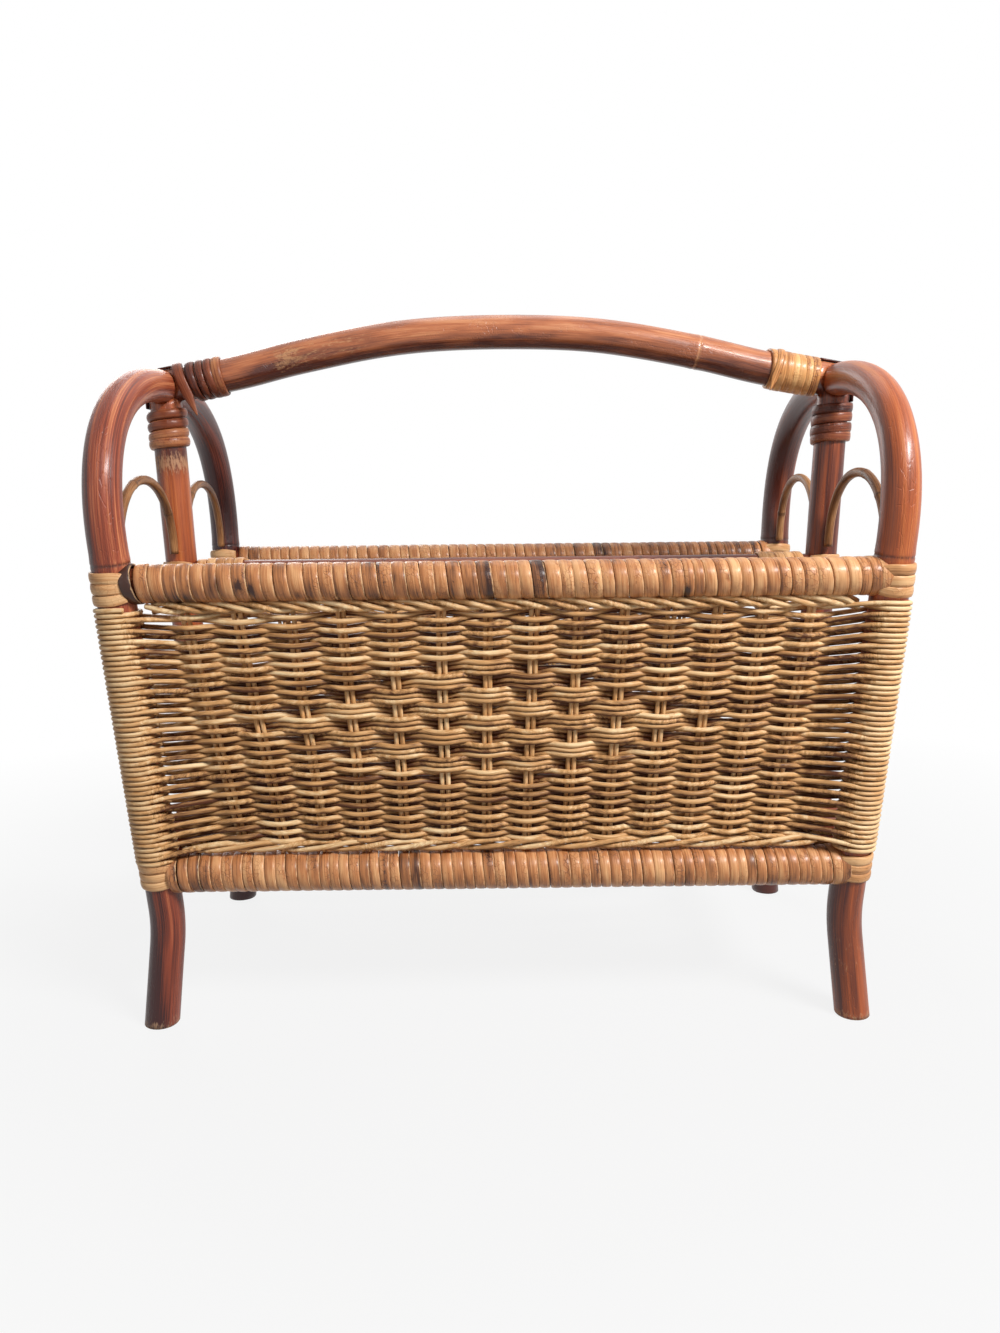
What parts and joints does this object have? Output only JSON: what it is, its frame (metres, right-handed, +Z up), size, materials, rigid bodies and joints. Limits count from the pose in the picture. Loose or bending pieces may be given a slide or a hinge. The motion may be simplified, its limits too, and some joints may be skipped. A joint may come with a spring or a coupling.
{
  "type": "magazine basket",
  "caption": "Free-standing rattan magazine basket with arched ends, a fixed bent carry handle, wrapped rails, woven front and back panels and a divider rail.",
  "frame": {"origin": "on the floor under the centre of the basket", "axes": "+X along the width towards the right end, +Y from the front panel towards the back panel, +Z up"},
  "size_m": [0.4672, 0.2664, 0.4367],
  "materials": {
    "dark_rattan": "stained rattan pole, satin varnish",
    "handle_rattan": "lighter stained rattan pole, worn satin varnish",
    "dark_peel": "dark stained peel, satin",
    "brown_peel": "glossy rattan peel",
    "reed": "round reed, semi-matt varnish",
    "light_cane": "pale cane, semi-matt",
    "golden_peel": "golden rattan peel, satin"
  },
  "bodies": {
    "root": {"left_arch": "dark_rattan", "left_centre_post": "dark_rattan", "left_end_rail": "dark_rattan", "left_handle_strap": "dark_peel", "left_post_binding": "brown_peel", "left_divider_binding": "light_cane", "left_divider_strap": "light_cane", "left_front_cane_loop": "light_cane", "left_front_top_strap": "light_cane", "left_front_bottom_strap": "light_cane", "left_back_cane_loop": "light_cane", "left_back_top_strap": "light_cane", "left_back_bottom_strap": "light_cane", "right_arch": "dark_rattan", "right_centre_post": "dark_rattan", "right_end_rail": "dark_rattan", "right_handle_strap": "dark_peel", "right_post_binding": "brown_peel", "right_divider_binding": "light_cane", "right_divider_strap": "light_cane", "right_front_cane_loop": "light_cane", "right_front_top_strap": "light_cane", "right_front_bottom_strap": "light_cane", "right_back_cane_loop": "light_cane", "right_back_top_strap": "light_cane", "right_back_bottom_strap": "light_cane", "left_handle_binding": "dark_peel", "right_handle_binding": "golden_peel", "carry_handle": "handle_rattan", "divider_rail": "dark_rattan", "front_woven_panel": "reed", "front_top_border": "reed", "front_bottom_border": "reed", "front_top_rail": "dark_rattan", "front_top_rail_wrap": "brown_peel", "front_bottom_rail": "dark_rattan", "front_bottom_rail_wrap": "brown_peel", "back_woven_panel": "reed", "back_top_border": "reed", "back_bottom_border": "reed", "back_top_rail": "dark_rattan", "back_top_rail_wrap": "brown_peel", "back_bottom_rail": "dark_rattan", "back_bottom_rail_wrap": "brown_peel", "front_base_rod_1": "dark_rattan", "front_base_rod_2": "dark_rattan", "front_base_rod_3": "dark_rattan", "back_base_rod_1": "dark_rattan", "back_base_rod_2": "dark_rattan", "back_base_rod_3": "dark_rattan"}
  },
  "joints": []
}
